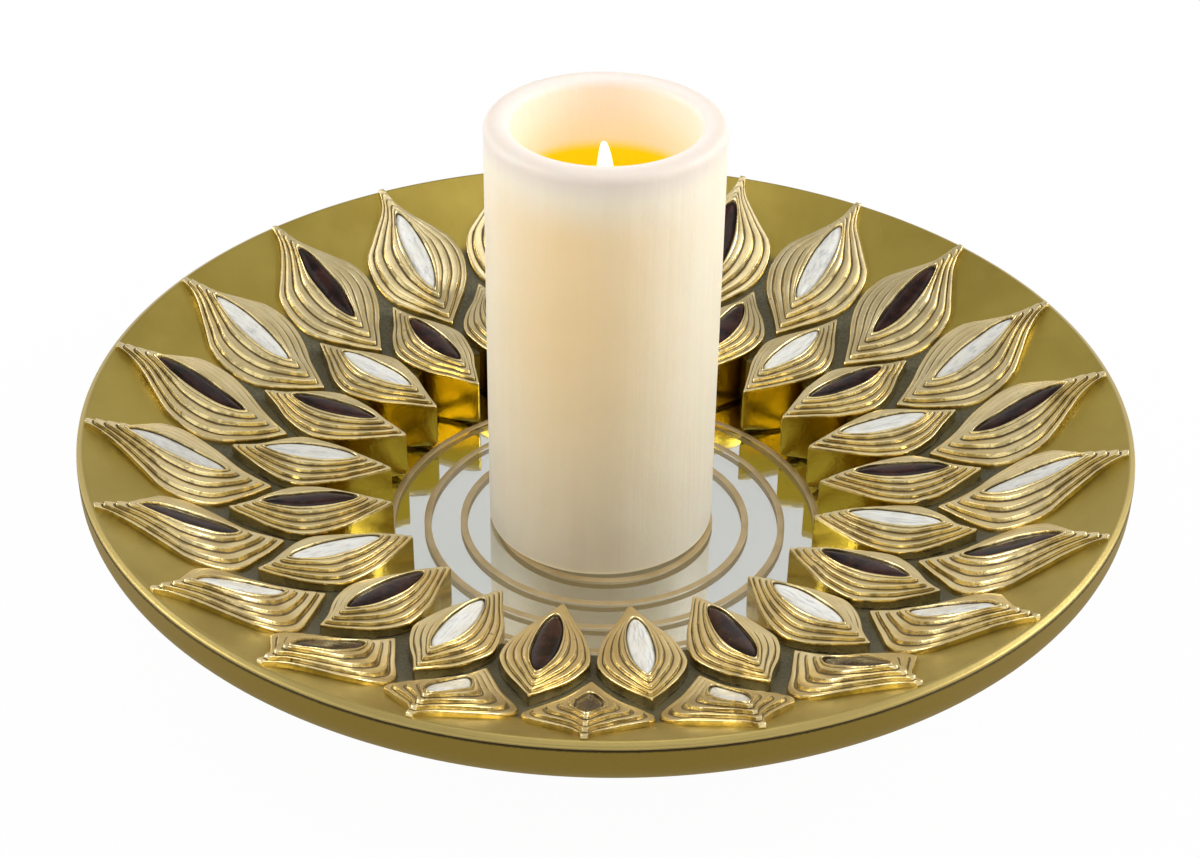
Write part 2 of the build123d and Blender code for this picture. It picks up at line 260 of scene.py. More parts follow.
def add_piece(name, corners, faces, finish, smooth=True):
    """A mesh object at the origin, with its place in its points."""
    mesh = bpy.data.meshes.new(name)
    mesh.from_pydata([tuple(corner) for corner in corners], [], faces)
    shape = bmesh.new()
    shape.from_mesh(mesh)
    bmesh.ops.remove_doubles(shape, verts=shape.verts, dist=same_point)
    bmesh.ops.recalc_face_normals(shape, faces=shape.faces)
    shape.to_mesh(mesh)
    shape.free()
    for face in mesh.polygons:
        face.use_smooth = smooth
    mesh.set_sharp_from_angle(angle=crease)
    mesh.materials.append(finish)
    piece = bpy.data.objects.new(name, mesh)
    bpy.context.scene.collection.objects.link(piece)
    print(name, len(mesh.polygons), "faces")
    return piece


def turn_on_lathe(name, line, finish, sides, centre=(0.0, 0.0), closed=False):
    """Turn a line of (radius, height) in millimetres round Z."""
    corners = []
    for radius, height in line:
        for side in range(sides):
            angle = 2 * math.pi * side / sides
            corners.append(Vector((centre[0] + radius * math.cos(angle),
                                   centre[1] + radius * math.sin(angle), height)) * mm)
    return add_piece(name, corners, ring_faces(len(line), sides, closed), finish)


# %% [markdown]
# ## Antique gold of the casting
# The casting is resin with a satin gold lacquer. Between the petals the lacquer was
# rubbed with a dark olive wash that stays matt. The band outside the lip and the underside
# are painted darker, a shaded bronze that deepens lower down: painted shade. The groove under
# the lip carries a brown painted shadow, and the crest above it a painted highlight. All of it
# is one finish, and the distance from the middle and the height tell the places apart.

# %% Antique gold
def antique_gold():
    gold = Finish("antique_gold")
    across, along, height = gold.axis("X"), gold.axis("Y"), gold.axis("Z")
    radius = (across * across + along * along) ** 0.5
    clouds, grain = gold.noise(0.03, detail=4.0), gold.noise(0.0009, detail=3.0)

    # Places on the casting as masks from 0 to 1, by distances and heights in metres.
    flange_line = 0.0295 + (radius - 0.1292) * 0.654
    under = (flange_line - height).ramp(0.002, 0.004) * radius.ramp(0.099, 0.101)
    wavy = radius + (clouds - 0.5) * 0.006
    wash = wavy.ramp(0.1495, 0.1455) * wavy.ramp(0.095, 0.098) * height.ramp(0.024, 0.026) * (1.0 - under)
    band = radius.ramp(0.1748, 0.1760)
    outside = under.math("MAXIMUM", band) * (0.45 + 0.55 * height.ramp(0.0578, 0.0570))
    crest = band * height.ramp(0.0572, 0.0580)
    from_groove = (height - 0.0574 + (grain - 0.5) * 0.0004).math("ABSOLUTE")
    groove = from_groove.ramp(0.0006, 0.0002) * band

    dark_lacquer, light_lacquer = (0.335, 0.248, 0.046), (0.40, 0.302, 0.064)
    shaded_bronze, crest_highlight, groove_shadow = (0.22, 0.150, 0.018), (0.60, 0.47, 0.19), (0.03, 0.020, 0.008)
    dark_olive, light_olive = (0.075, 0.068, 0.036), (0.125, 0.112, 0.060)
    colour = gold.mix(clouds.ramp(0.3, 0.7), dark_lacquer, light_lacquer)
    # Painted shade: the band outside the lip and the underside darken to bronze, most of all low down.
    colour = gold.mix(outside, colour, shaded_bronze)
    # Painted highlight: the crest of the lip is lightened to a pale gold.
    colour = gold.mix(crest * 0.5, colour, crest_highlight)
    # Painted shadow: a near-black brown line in the groove under the lip.
    colour = gold.mix(groove * 0.85, colour, groove_shadow)
    olive = gold.mix(grain.ramp(0.35, 0.7), dark_olive, light_olive)
    return gold.finish(Base_Color=gold.mix(wash, colour, olive),
                       Metallic=0.92 - 0.7 * wash - 0.25 * under,
                       Roughness=0.34 + 0.12 * grain + 0.12 * wash + 0.22 * under,
                       Normal=gold.bump(clouds, 0.0003, under=gold.bump(grain, 0.00004)))


antique = antique_gold()

# %% [markdown]
# ## The plate
# The plate is one casting: a foot, a sloping underside, a rounded rim band, a thin lip, a
# steep flange, and a gentler ledge that drops to the mirror's bed. The flange runs into
# the ledge on a wide curve. A lathe does it all from one line with rounded corners.

# %% Plate
rim_top, band_radius = bed_height(lip_radius), rim_radius - 0.1
foot_outside, foot_inside, foot_low, hollow = 103.0, 90.0, 1.5, 3.2
bed = [(0.0, mirror_bed, 0), (glass_edge, mirror_bed, 0.2), (glass_edge, ledge_height, 0.8),
       (flange_start, flange_foot, 50)]
lip = [(lip_radius, rim_top, 1.3), (rim_radius - 0.3, rim_top - 1.1, 1.0)]
groove = [(rim_radius - 0.2, rim_top - 1.9, 0.3), (rim_radius - 0.8, rim_top - 2.2, 0.2),
          (band_radius, rim_top - 2.7, 0.5)]
underside = [(band_radius, 46.3, 9.5), (foot_outside, 9.5, 3.0), (foot_outside, foot_low, 1.5),
             (foot_inside, foot_low, 1.0), (foot_inside, hollow, 0), (0.0, hollow, 0)]
plate_line = rounded(bed + lip + groove + underside, steps=8)
plate = turn_on_lathe("plate_casting", plate_line, antique, sides=256)
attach(plate, "plate")
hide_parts("plate_body")
print("plate line has", len(plate_line), "points")

# %% [markdown]
# ## Leaf gold of the petals
# The petals are brighter than the plate: a pale, polished gold leaf. Brown patina stays in
# the grooves between their terraces, and small specks of it lie on the treads. The same brown
# is painted shadow at each petal's foot. The grooves, the foot and the side walls are marked on
# the petal's points when it is modelled, in attributes called patina_and_shadow and side. The
# side walls get a deeper gold, a painted reflection, and steep faces are shinier, with a painted
# highlight crossed by dark streaks of painted reflection.

# %% Leaf gold
def leaf_gold():
    gold = Finish("leaf_gold")
    groove, side = (gold.node("ShaderNodeAttribute", {"attribute_name": mark}, out="Fac")
                    for mark in ("patina_and_shadow", "side"))
    clouds = gold.noise(0.012, detail=3.0)
    grain = gold.noise(0.0011, detail=4.0, roughness=0.65)
    specks = gold.noise(0.0016, detail=2.0).ramp(0.66, 0.74) * clouds.ramp(0.45, 0.6)
    # Real patina in the terrace grooves and painted shadow at the petal's foot both turn the leaf brown.
    patina_and_shadow_mask = (groove * (0.5 + grain)).ramp(0.40, 0.80)
    facing_up = gold.axis("Z", gold.node("ShaderNodeNewGeometry", out="Normal"))
    steep = facing_up.ramp(0.80, 0.45) * (1.0 - side)
    # Painted dark reflection: brown streaks on the steep faces.
    streaks = steep * gold.noise(0.008, detail=4.0, roughness=0.6).ramp(0.46, 0.58)

    dull_leaf, pale_leaf, wall_reflection_gold = (0.65, 0.52, 0.265), (0.75, 0.62, 0.35), (0.46, 0.33, 0.03)
    riser_highlight, brown = (0.98, 0.81, 0.38), (0.065, 0.038, 0.010)
    # Painted reflection: side walls take a deeper yellow gold, as gold walls and the olive ledge mirror in
    # them.
    colour = gold.mix(side, gold.mix(clouds.ramp(0.3, 0.7), dull_leaf, pale_leaf), wall_reflection_gold)
    # Painted highlight: steep faces lighten to a bright gold.
    colour = gold.mix(steep * 0.8, colour, riser_highlight)
    colour = gold.mix(patina_and_shadow_mask * 0.9 + specks * 0.45 + streaks * 0.5, colour, brown)
    return gold.finish(Base_Color=colour, Metallic=1.0 - 0.7 * patina_and_shadow_mask,
                       Roughness=0.25 + 0.12 * grain + 0.25 * patina_and_shadow_mask - 0.17 * steep.math("MAXIMUM", side),
                       Normal=gold.bump(grain, 0.00009, under=gold.bump(clouds, 0.00022)))


leaf = leaf_gold()

# %% [markdown]
# ## One petal
# Every petal is a leaf with an S-curved point at both ends, and climbs in terraces to an
# almond pocket for its stone. Modelling this by hand would take a subdivision cage with
# dozens of loops. A loft is shorter: rings of points run from the leaf's outline to the
# almond's outline, and a table says how high each ring stands over the casting.

# %% Outlines
def smooth_through(stops, place):
    """A smooth line through (place, value) stops."""
    xs, ys = zip(*stops)
    slopes = []
    for n in range(len(xs)):
        low, high = max(n - 1, 0), min(n + 1, len(xs) - 1)
        slopes.append((ys[high] - ys[low]) / (xs[high] - xs[low]))
    n = min(max(sum(x <= place for x in xs) - 1, 0), len(xs) - 2)
    span = xs[n + 1] - xs[n]
    t = (place - xs[n]) / span
    return ((1 + 2 * t) * (1 - t) ** 2 * ys[n] + t * (1 - t) ** 2 * span * slopes[n]
            + t * t * (3 - 2 * t) * ys[n + 1] + t * t * (t - 1) * span * slopes[n + 1])


def casting_under(radius):
    """The casting's upper side as the eye sees it, with the blend of ledge and flange."""
    samples = [bed_height(radius + blend_reach * n / blend_steps)
               for n in range(-blend_steps, blend_steps + 1)]
    return sum(samples) / len(samples)


blend_reach, blend_steps = 9.0, 4
leaf_steps = 42
along_leaf = [0.5 - 0.5 * math.cos(math.pi * n / leaf_steps) for n in range(leaf_steps + 1)]
print(len(along_leaf), "places along a petal")

# %% [markdown]
# The outer petals lie on the flange and the inner ones on the ledge, so both come from the
# same function with their own sizes. An inner petal reaches over the mirror, where its
# sides run down to the glass as a tall wall, which is set back at the foot of its point.

# %% Petal
over_glass_radius, foot_on_glass = 98.6, 10.12
wall_lifts = (0.0, 0.25, 0.7, 1.3, 2.1, 3.0, 4.0)
setback, setback_length = 3.6, 9.0
sunk, ground_lift, lift_share = 0.35, 1.0, 0.02
foot_shadow, ledge_side, wall_top = 0.9, 0.35, 0.01
almond_point, almond_fullness = 2.2, 0.62


class Petal:
    def __init__(self, inner, outer, belly, shares, gem, rings, tip_lift, wall_to_glass):
        self.inner, self.outer, self.belly, self.shares = inner, outer, belly, shares
        self.gem_start, self.gem_end, self.gem_width = gem
        self.rings, self.tip_lift, self.wall_to_glass = rings, tip_lift, wall_to_glass

    def edge(self, share):
        """Place along and half width of the leaf's own outline."""
        along = self.inner + (self.outer - self.inner) * share
        return along, self.belly * smooth_through(self.shares, share)

    def almond(self, share):
        """The same for the stone's outline."""
        along = self.gem_start + (self.gem_end - self.gem_start) * share
        fullness = max(1 - abs(2 * share - 1) ** almond_point, 0.0) ** almond_fullness
        return along, self.gem_width * fullness

    def over(self, along):
        """Height of the petal's own ground: the casting, with its points bent up or down."""
        share = (along - self.inner) / (self.outer - self.inner)
        ends = 2 * share - 1 if self.wall_to_glass else max(0.0, 2 * share - 1)
        return casting_under(along) + self.tip_lift * ends ** 2

    def ring(self, t, height):
        """Points all round: out along one side and back along the other."""
        points = []
        for side in (1, -1):
            for share in (along_leaf if side > 0 else along_leaf[-2:0:-1]):
                (x1, y1), (x2, y2) = self.edge(share), self.almond(share)
                along, across = x1 + (x2 - x1) * t, side * (y1 + (y2 - y1) * t)
                points.append(Vector((along, across, self.over(along) + height)))
        return points

    def stands_on_glass(self, point):
        return self.wall_to_glass and math.hypot(point.x, point.y) < over_glass_radius

    def foot(self, lift):
        """The bottom of the side wall, on the casting or on the glass."""
        points = self.ring(0.0, 0.0)
        for point in points:
            if self.stands_on_glass(point):
                tip = max(0.0, 1 - (point.x - self.inner) / setback_length)
                curve = 1 - (1 - max(0.0, 1 - lift / wall_lifts[-1]) ** 2) ** 0.5
                point.x += setback * tip * curve
                point.z = foot_on_glass + lift
            else:
                ground = min(bed_height(math.hypot(point.x, point.y)), point.z + ground_lift)
                point.z = ground - sunk + lift_share * lift
        return points


def loft(name, corners, count, finish):
    """A skin over rings of count points, closed at both ends by strips across the leaf."""
    faces = ring_faces(len(corners) // count, count)
    for first in (0, len(corners) - count):
        for n in range(count // 2):
            left = (first + n, first + n + 1)
            right = (first + (count - n) % count, first + count - n - 1)
            faces.append(tuple(dict.fromkeys((left[0], left[1], right[1], right[0]))))
    return add_piece(name, [corner * mm for corner in corners], faces, finish)


def make_petal(name, shape, finish):
    corners = []
    feet = wall_lifts if shape.wall_to_glass else wall_lifts[:1]
    for lift in feet:
        corners += shape.foot(lift)
    count = len(corners) // len(feet)
    walls = [shape.stands_on_glass(corner) for corner in corners]
    # Painted shadow: the foot ring on the casting takes the brown of the patina.
    patina_and_shadow = [0.0 if wall else foot_shadow for wall in walls]
    side_mark = [1.0 if wall else ledge_side for wall in walls]
    for t, height, groove in shape.rings:
        corners += shape.ring(t, height)
        patina_and_shadow += [groove] * count
        side_mark += side_mark[:count] if t < wall_top else [0.0] * count
    petal = loft(name, corners, count, finish)
    for mark, values in (("patina_and_shadow", patina_and_shadow), ("side", side_mark)):
        layer = petal.data.attributes.new(mark, "FLOAT", "POINT")
        layer.data.foreach_set("value", values)
    return petal


print("an inner petal's wall has", len(wall_lifts), "rings")

# %% [markdown]
# The table of rings: share of the way to the stone, height over the casting, and how much
# patina lies there. A terrace is a groove, a steep riser, a rounded shoulder and a tread.
# Over the lowest tread all heights can be stretched, which makes the risers taller.

# %% Rings of a petal
edge_rings = [(0.0, -1.7, 0), (0.004, -1.1, 0), (0.014, -0.5, 0), (0.028, -0.15, 0), (0.048, 0.03, 0),
              (0.07, 0.10, 0), (0.12, 0.12, 0), (0.150, 0.10, 0), (0.168, 0.05, 1)]
terrace = [(0.0, 0.0, 1), (0.005, 0.10, 1), (0.012, 0.28, 0.3), (0.042, 1.07, 0), (0.050, 1.20, 0),
           (0.063, 1.27, 0), (0.12, 1.29, 0), (0.19, 1.28, 0), (0.212, 1.26, 0.1), (0.232, 1.20, 1)]
terrace_starts, terrace_height = (0.19, 0.45), 1.25
top_terrace = [(0.71, 2.5, 1), (0.716, 2.62, 1), (0.724, 2.85, 0.3), (0.752, 3.53, 0), (0.764, 3.69, 0),
               (0.80, 3.74, 0), (0.86, 3.72, 0)]
pocket_rim = [(0.885, 3.62, 0.9), (0.893, 3.75, 0.5), (0.905, 4.05, 0), (0.925, 4.2, 0), (0.95, 4.15, 0),
              (0.965, 3.9, 0.2), (0.975, 3.4, 0.9), (1.0, 3.1, 1)]
lowest_tread = 0.2


def terraces(edge_height, stretch):
    table = list(edge_rings)
    for n, start in enumerate(terrace_starts):
        table += [(start + t, n * terrace_height + height, groove) for t, height, groove in terrace]
    return [(t, height * (stretch if height > lowest_tread else 1.0) + edge_height, groove)
            for t, height, groove in table + top_terrace + pocket_rim]


outer_leaf = [(0, 0.012), (0.17, 0.43), (0.32, 0.83), (0.46, 1.0), (0.60, 0.925), (0.69, 0.68),
              (0.775, 0.43), (0.85, 0.23), (0.92, 0.11), (0.97, 0.075), (1, 0.05)]
inner_leaf = [(0, 0.02), (0.17, 0.40), (0.33, 0.76), (0.54, 1.0), (0.65, 0.92), (0.77, 0.66),
              (0.88, 0.32), (1, 0.02)]
outer_shape = Petal(inner=115.2, outer=175.3, belly=19.95, shares=outer_leaf, gem=(130.6, 160.4, 4.1),
                    rings=terraces(edge_height=2.7, stretch=1.22), tip_lift=-1.0, wall_to_glass=False)
inner_shape = Petal(inner=74.8, outer=130.3, belly=14.3, shares=inner_leaf, gem=(87.0, 118.5, 4.1),
                    rings=terraces(edge_height=3.6, stretch=1.03), tip_lift=1.2, wall_to_glass=True)
print(len(outer_shape.rings), "rings in a petal")

# %% [markdown]
# ## Rows by Geometry Nodes
# The row is a rule: so many petals, each turned by the same step, and each a little
# uneven because it was cast and gilded by hand. A Geometry Nodes tree says that rule
# once, for petals and stones alike. The unevenness is read from noise at the point's own
# place, so a stone moves with the pocket that it lies in.

# %% Row tree
def row_tree():
    tree = bpy.data.node_groups.new("row_round_plate", "GeometryNodeTree")
    kinds = {"Geometry": "Geometry", "Count": "Int", "Turn": "Float", "Step": "Float",
             "Unevenness": "Float", "Wave": "Float", "Seed": "Int", "Finish": "Material"}
    for name, kind in kinds.items():
        tree.interface.new_socket(name, in_out="INPUT", socket_type="NodeSocket" + kind)
    tree.interface.new_socket("Geometry", in_out="OUTPUT", socket_type="NodeSocketGeometry")
    made = Network(tree)
    given = tree.nodes.new("NodeGroupInput")
    value = {name: Value(made, given.outputs[name]) for name in kinds}
    points = made.node("GeometryNodePoints", None, {"Count": value["Count"]})
    angle = made.node("GeometryNodeInputIndex") * value["Step"] + value["Turn"]
    euler = made.node("ShaderNodeCombineXYZ", None, {"Z": angle})
    turned = made.node("FunctionNodeEulerToRotation", None, {0: euler})
    laid = made.node("GeometryNodeInstanceOnPoints", None,
                     {"Points": points, "Instance": value["Geometry"], "Rotation": turned})
    real = made.node("GeometryNodeRealizeInstances", None, {0: laid})
    seed_spread = 7.3
    wave = made.node("ShaderNodeTexNoise", {"noise_dimensions": "4D"},
                     {"Vector": made.node("GeometryNodeInputPosition"), "W": value["Seed"] * seed_spread,
                      "Scale": 1.0 / value["Wave"], "Detail": 1.0}, out=1)
    middle = made.vector("SUBTRACT", wave, (0.5, 0.5, 0.5))
    shift = made.node("ShaderNodeVectorMath", {"operation": "SCALE"},
                      {0: middle, "Scale": value["Unevenness"]})
    moved = made.node("GeometryNodeSetPosition", None, {"Geometry": real, "Offset": shift})
    dressed = made.node("GeometryNodeSetMaterial", None, {"Geometry": moved, "Material": value["Finish"]})
    end = tree.nodes.new("NodeGroupOutput")
    tree.links.new(dressed.socket, end.inputs[0])
    return tree


row_of = row_tree()


def lay_row(piece, name, **inputs):
    """Run the tree on one shape and keep the result as a plain mesh."""
    modifier = piece.modifiers.new("row", "NODES")
    modifier.node_group = row_of
    identifiers = {item.name: item.identifier for item in row_of.interface.items_tree
                   if item.in_out == "INPUT"}
    for key, value in inputs.items():
        modifier[identifiers[key]] = value
    bpy.context.view_layer.update()
    shown = piece.evaluated_get(bpy.context.evaluated_depsgraph_get())
    mesh = bpy.data.meshes.new_from_object(shown)
    piece.modifiers.clear()
    bpy.data.objects.remove(piece)
    row = bpy.data.objects.new(name, mesh)
    bpy.context.scene.collection.objects.link(row)
    print(name, len(mesh.polygons), "faces")
    return row


print("the row tree has", len(row_of.nodes), "nodes")

# %% [markdown]
# Both rows are laid now. One outer petal points nearly straight at the viewer, and the inner
# row is turned by half a step, so that its petals stand between those of the outer one.

# %% Petal rows
towards_viewer, photo_offset = -90.0, -1.58
outer_turn = math.radians(towards_viewer + photo_offset)
inner_turn = outer_turn - pitch / 2
uneven = {"Unevenness": 0.0011, "Wave": 0.016, "Seed": 3}
for name, shape, turn in (("outer", outer_shape, outer_turn), ("inner", inner_shape, inner_turn)):
    petal = make_petal(name + "_petal", shape, leaf)
    row = lay_row(petal, name + "_petal_row", Count=petals_in_row, Turn=turn, Step=pitch, Finish=leaf,
                  **uneven)
    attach(row, "plate")
    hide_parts(name + "_petals")

# %% [markdown]
# ## Stones
# Dark and pale stones take turns in both rows. They are low almond domes, set in the
# pockets. The dark ones are glossy like lacquered horn with reddish flecks, and the pale
# ones are mother of pearl, which is streaked along the stone and shimmers in patches.

# %% Stone finishes
def dark_stone():
    stone = Finish("dark_gem")
    flecks = stone.noise(0.0016, detail=4.0, roughness=0.7).ramp(0.60, 0.74)
    clouds = stone.noise(0.006, detail=3.0)
    black, brown, red = (0.010, 0.005, 0.004), (0.040, 0.014, 0.010), (0.16, 0.06, 0.04)
    body = stone.mix(clouds.ramp(0.35, 0.7), black, brown)
    return stone.finish(Base_Color=stone.mix(flecks * 0.55, body, red),
                        Roughness=0.14 + 0.14 * clouds, Specular_IOR_Level=0.18,
                        Normal=stone.bump(clouds, 0.0003))


def pearl_stone():
    stone = Finish("pearl")
    across, along = stone.axis("X"), stone.axis("Y")
    bearing = stone.node("ShaderNodeMath", {"operation": "ARCTAN2"}, {0: along, 1: across})
    radius = (across * across + along * along) ** 0.5
    # Distances are squeezed along the stone more than across it, which draws streaks.
    along_stone, across_stone = radius * 0.35, bearing * 0.26
    strip = stone.node("ShaderNodeCombineXYZ", None, {0: along_stone, 1: across_stone, 2: stone.axis("Z")})
    streaks = stone.noise(0.0022, detail=5.0, place=strip, roughness=0.62)
    patches = stone.noise(0.007, detail=2.0)
    grey, white, cream = (0.50, 0.51, 0.50), (0.76, 0.76, 0.72), (0.72, 0.69, 0.58)
    streaked = stone.mix(streaks.ramp(0.30, 0.56), grey, white)
    return stone.finish(Base_Color=stone.mix(patches.ramp(0.45, 0.62) * 0.4, streaked, cream),
                        Metallic=0.1, Roughness=0.16 + 0.14 * streaks,
                        Normal=stone.bump(streaks, 0.00008))


stones = {"dark": ("dark_gem", dark_stone()), "pearl": ("pearl", pearl_stone())}
print(len(stones), "kinds of stone")

# %% [markdown]
# A stone is a loft too: its first ring is sunk in the pocket, and the next ones draw in
# and rise to a low dome. It keeps more of its length than of its width as it draws in.

# %% Stones
dome = [(0.0, -0.3), (0.0, 0.15), (0.10, 0.45), (0.25, 0.72), (0.45, 0.92), (0.70, 1.05)]
length_lost = 0.35


def make_stone(name, shape, finish):
    """A low dome over the pocket's outline, closed below."""
    pocket = shape.rings[-1][1]
    middle = (shape.gem_start + shape.gem_end) / 2
    corners = []
    for inward, height in dome:
        for side in (1, -1):
            for share in (along_leaf[::2] if side > 0 else along_leaf[-3:1:-2]):
                along, across = shape.almond(share)
                along = middle + (along - middle) * (1 - length_lost * inward)
                across *= side * (1 - inward)
                corners.append(Vector((along, across, shape.over(along) + pocket + height)))
    return loft(name, corners, len(corners) // len(dome), finish)


for row, shape, turn in (("outer", outer_shape, outer_turn), ("inner", inner_shape, inner_turn)):
    for first, (kind, (slot, finish)) in enumerate(stones.items()):
        stone = make_stone(f"{row}_{kind}_stone", shape, finish)
        laid = lay_row(stone, f"{row}_{kind}_stones", Count=petals_in_row // 2, Turn=turn + first * pitch,
                       Step=2 * pitch, Finish=finish, **uneven)
        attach(laid, "plate")
        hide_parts(f"{row}_gems_{kind}")

# %% [markdown]
# ## Mirror
# The mirror is a disc of glass, silvered on its back. The painted rings lie on its front,
# so each shows a second time in the silver, a glass thickness lower. One shiny disc would
# lose that, so the glass, the silver and the rings are separate shapes.

# %% Mirror
def clear_glass():
    glass = Finish("mirror")
    haze = glass.noise(0.05, detail=3.0)
    return glass.finish(Base_Color=glass.mix(haze, (0.93, 0.955, 0.94), (0.97, 0.985, 0.975)),
                        Roughness=0.01 + 0.02 * haze, Transmission_Weight=1.0, IOR=1.5)


def silver_back():
    silver = Finish("mirror_silver")
    haze = silver.noise(0.04, detail=4.0)
    return silver.finish(Base_Color=silver.mix(haze, (0.74, 0.72, 0.69), (0.78, 0.76, 0.73)),
                         Metallic=1.0, Roughness=0.02 + 0.03 * haze)


mirror_sides, glass_radius, glass_low = 192, 96.4, 7.08
silver_radius, silver_top, silver_low = 96.3, 7.06, 7.02
glass_line = rounded([(0.0, glass_top, 0), (glass_radius, glass_top, 0.5),
                      (glass_radius, glass_low, 0.3), (0.0, glass_low, 0)], steps=3)
silver_line = rounded([(0.0, silver_top, 0), (silver_radius, silver_top, 0.01),
                       (silver_radius, silver_low, 0.01), (0.0, silver_low, 0)], steps=2)
glass = turn_on_lathe("mirror_glass_disc", glass_line, clear_glass(), mirror_sides)
silver = turn_on_lathe("mirror_silvering", silver_line, silver_back(), mirror_sides)
for piece in (glass, silver):
    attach(piece, "plate")
    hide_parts("mirror_glass")

# %% [markdown]
# The rings are tan gold enamel, half an inch apart. They are thin, but not flat: enamel
# draws up to a rounded bead, so each ring is a lathe with a low curved top. Their undersides
# glow faintly, because the ring's image in the silver would be black without light there.

# %% Painted rings
first_ring, ring_step, ring_count, ring_sides = 38.1, 12.7, 4, 160
bead = [(0.0, 10.01), (0.3, 10.13), (1.2, 10.18), (2.1, 10.13), (2.4, 10.01)]


def ring_enamel():
    paint = Finish("ring_enamel")
    clouds = paint.noise(0.01, detail=3.0)
    tan, pale_tan = (0.46, 0.345, 0.175), (0.55, 0.43, 0.24)
    underside = paint.axis("Z").ramp(0.01004, 0.01002)
    return paint.finish(Base_Color=paint.mix(clouds.ramp(0.3, 0.7), tan, pale_tan), Metallic=0.45,
                        Emission_Color=paint.mix(underside, (0.0, 0.0, 0.0), (0.20, 0.145, 0.062)),
                        Emission_Strength=1.0, Roughness=0.34 + 0.15 * clouds,
                        Normal=paint.bump(clouds, 0.0002))


enamel = ring_enamel()
for n in range(ring_count):
    outer = first_ring + ring_step * n
    line = [(outer - inward, height) for inward, height in bead]
    ring = turn_on_lathe(f"mirror_ring_{n + 1}", line, enamel, ring_sides, closed=True)
    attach(ring, "plate")

# %% [markdown]
# ## Wax
# The candle is a shell of real wax over a plastic core. Wax lets light in a little way, so
# it needs subsurface scattering. The glow of the hidden lamp is painted: a warm belt on the
# lamp's side that fades down the candle, a paler colour and a faint glow on the well's wall,
# a bright ring of lamplight where the wall meets the well's floor, and a little light at the
# foot, where the mirror throws it back.

# %% Wax finish
def wax_finish():
    wax = Finish("wax")
    across, along, height = wax.axis("X") + 0.0015, wax.axis("Y") - 0.0045, wax.axis("Z")
    radius = (across ** 2.0 + along ** 2.0) ** 0.5
    bearing = wax.node("ShaderNodeMath", {"operation": "ARCTAN2"}, {0: along, 1: across})
    clouds, fine = wax.noise(0.02, detail=4.0), wax.noise(0.0015, detail=3.0)
    drawn = wax.noise(0.004, detail=3.0, stretch=(1.0, 1.0, 0.06)).ramp(0.35, 0.65)

    # Places on the wax as masks: the well's wall, the warm side, the foot and the lamplight.
    inner = radius.ramp(0.0372, 0.0325)
    towards_lamp = wax.node("ShaderNodeMath", {"operation": "COSINE"}, {0: bearing + 1.83})
    lobe = towards_lamp.math("MAXIMUM", 0.0) ** 3.0
    belt = (0.35 + 0.65 * height.ramp(0.020, 0.115)) * height.ramp(0.158, 0.136)
    warm = belt * (0.12 + 0.88 * lobe) * (1.0 - inner)
    foot = height.ramp(0.0122, 0.0108)
    well = inner * height.ramp(0.128, 0.134)
    lamplight = inner * height.ramp(0.1415, 0.1365) * height.ramp(0.1285, 0.130)

    ivory, pale_ivory, top_edge = (0.83, 0.77, 0.61), (0.89, 0.84, 0.71), (0.77, 0.69, 0.61)
    well_wall, honey, yellow = (0.79, 0.73, 0.66), (0.78, 0.57, 0.28), (0.88, 0.50, 0.0)
    colour = wax.mix(clouds * 0.7 + drawn * 0.3, ivory, pale_ivory)
    colour = wax.mix(height.ramp(0.150, 0.160), colour, top_edge)
    colour = wax.mix(warm * 0.75, wax.mix(inner, colour, well_wall), honey)
    colour = wax.mix(lamplight, colour, yellow)
    glow = wax.mix(warm, (0.022, 0.020, 0.016), (0.105, 0.068, 0.022))
    glow = wax.mix(foot, glow, (0.20, 0.16, 0.09))
    glow = wax.mix(well, glow, (0.10, 0.085, 0.085))
    glow = wax.mix(lamplight, glow, (0.42, 0.20, 0.0))
    grooves = wax.bump(drawn, 0.00006, under=wax.bump(fine, 0.00004))
    return wax.finish(Base_Color=colour, Roughness=0.42 + 0.12 * clouds, Subsurface_Weight=0.35,
                      Subsurface_Radius=(1.0, 0.55, 0.3), Subsurface_Scale=0.006,
                      Emission_Color=glow, Emission_Strength=1.0,
                      Normal=wax.bump(clouds, 0.0008, under=grooves))


wax_material = wax_finish()
print("wax has", len(wax_material.node_tree.nodes), "nodes")

# %% [markdown]
# The shell is turned with a soft rounded rim and a deep well. A wax rim that has been warm
# is never quite level, so the points near the top are then lowered a little, in slow waves.

# %% Wax shell
candle_radius, well_radius, candle_sides = 39.2, 30.2, 160
sag_start, sag_length = 150, 12
wax_line = rounded([
    (well_radius + 0.1, candle_low, 0), (candle_radius, candle_low, 1.6), (candle_radius, candle_top, 3.6),
    (well_radius + 0.5, candle_top, 3.4), (well_radius, 148.0, 5.0), (well_radius, 130.8, 0.4),
    (well_radius + 0.1, 130.0, 0)], steps=8)
wax = turn_on_lathe("wax_pillar", wax_line, wax_material, candle_sides, (candle_x, candle_y), closed=True)
for vertex in wax.data.vertices:
    angle = math.atan2(vertex.co.y - candle_y * mm, vertex.co.x - candle_x * mm)
    sway = 0.25 * math.sin(2 * angle + 0.7) + 0.15 * math.sin(3 * angle + vertex.co.z * 40)
    vertex.co.z -= max(0.0, (vertex.co.z / mm - sag_start) / sag_length) * (0.15 + 0.25 * sway) * mm
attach(wax, "candle")
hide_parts("wax_shell")

# %% [markdown]
# ## Flame
# The flame is a thin plastic leaf that hangs in a slot and is lit from below, so it is
# brightest in its middle. A lens-shaped cross-section catches light like the real one.

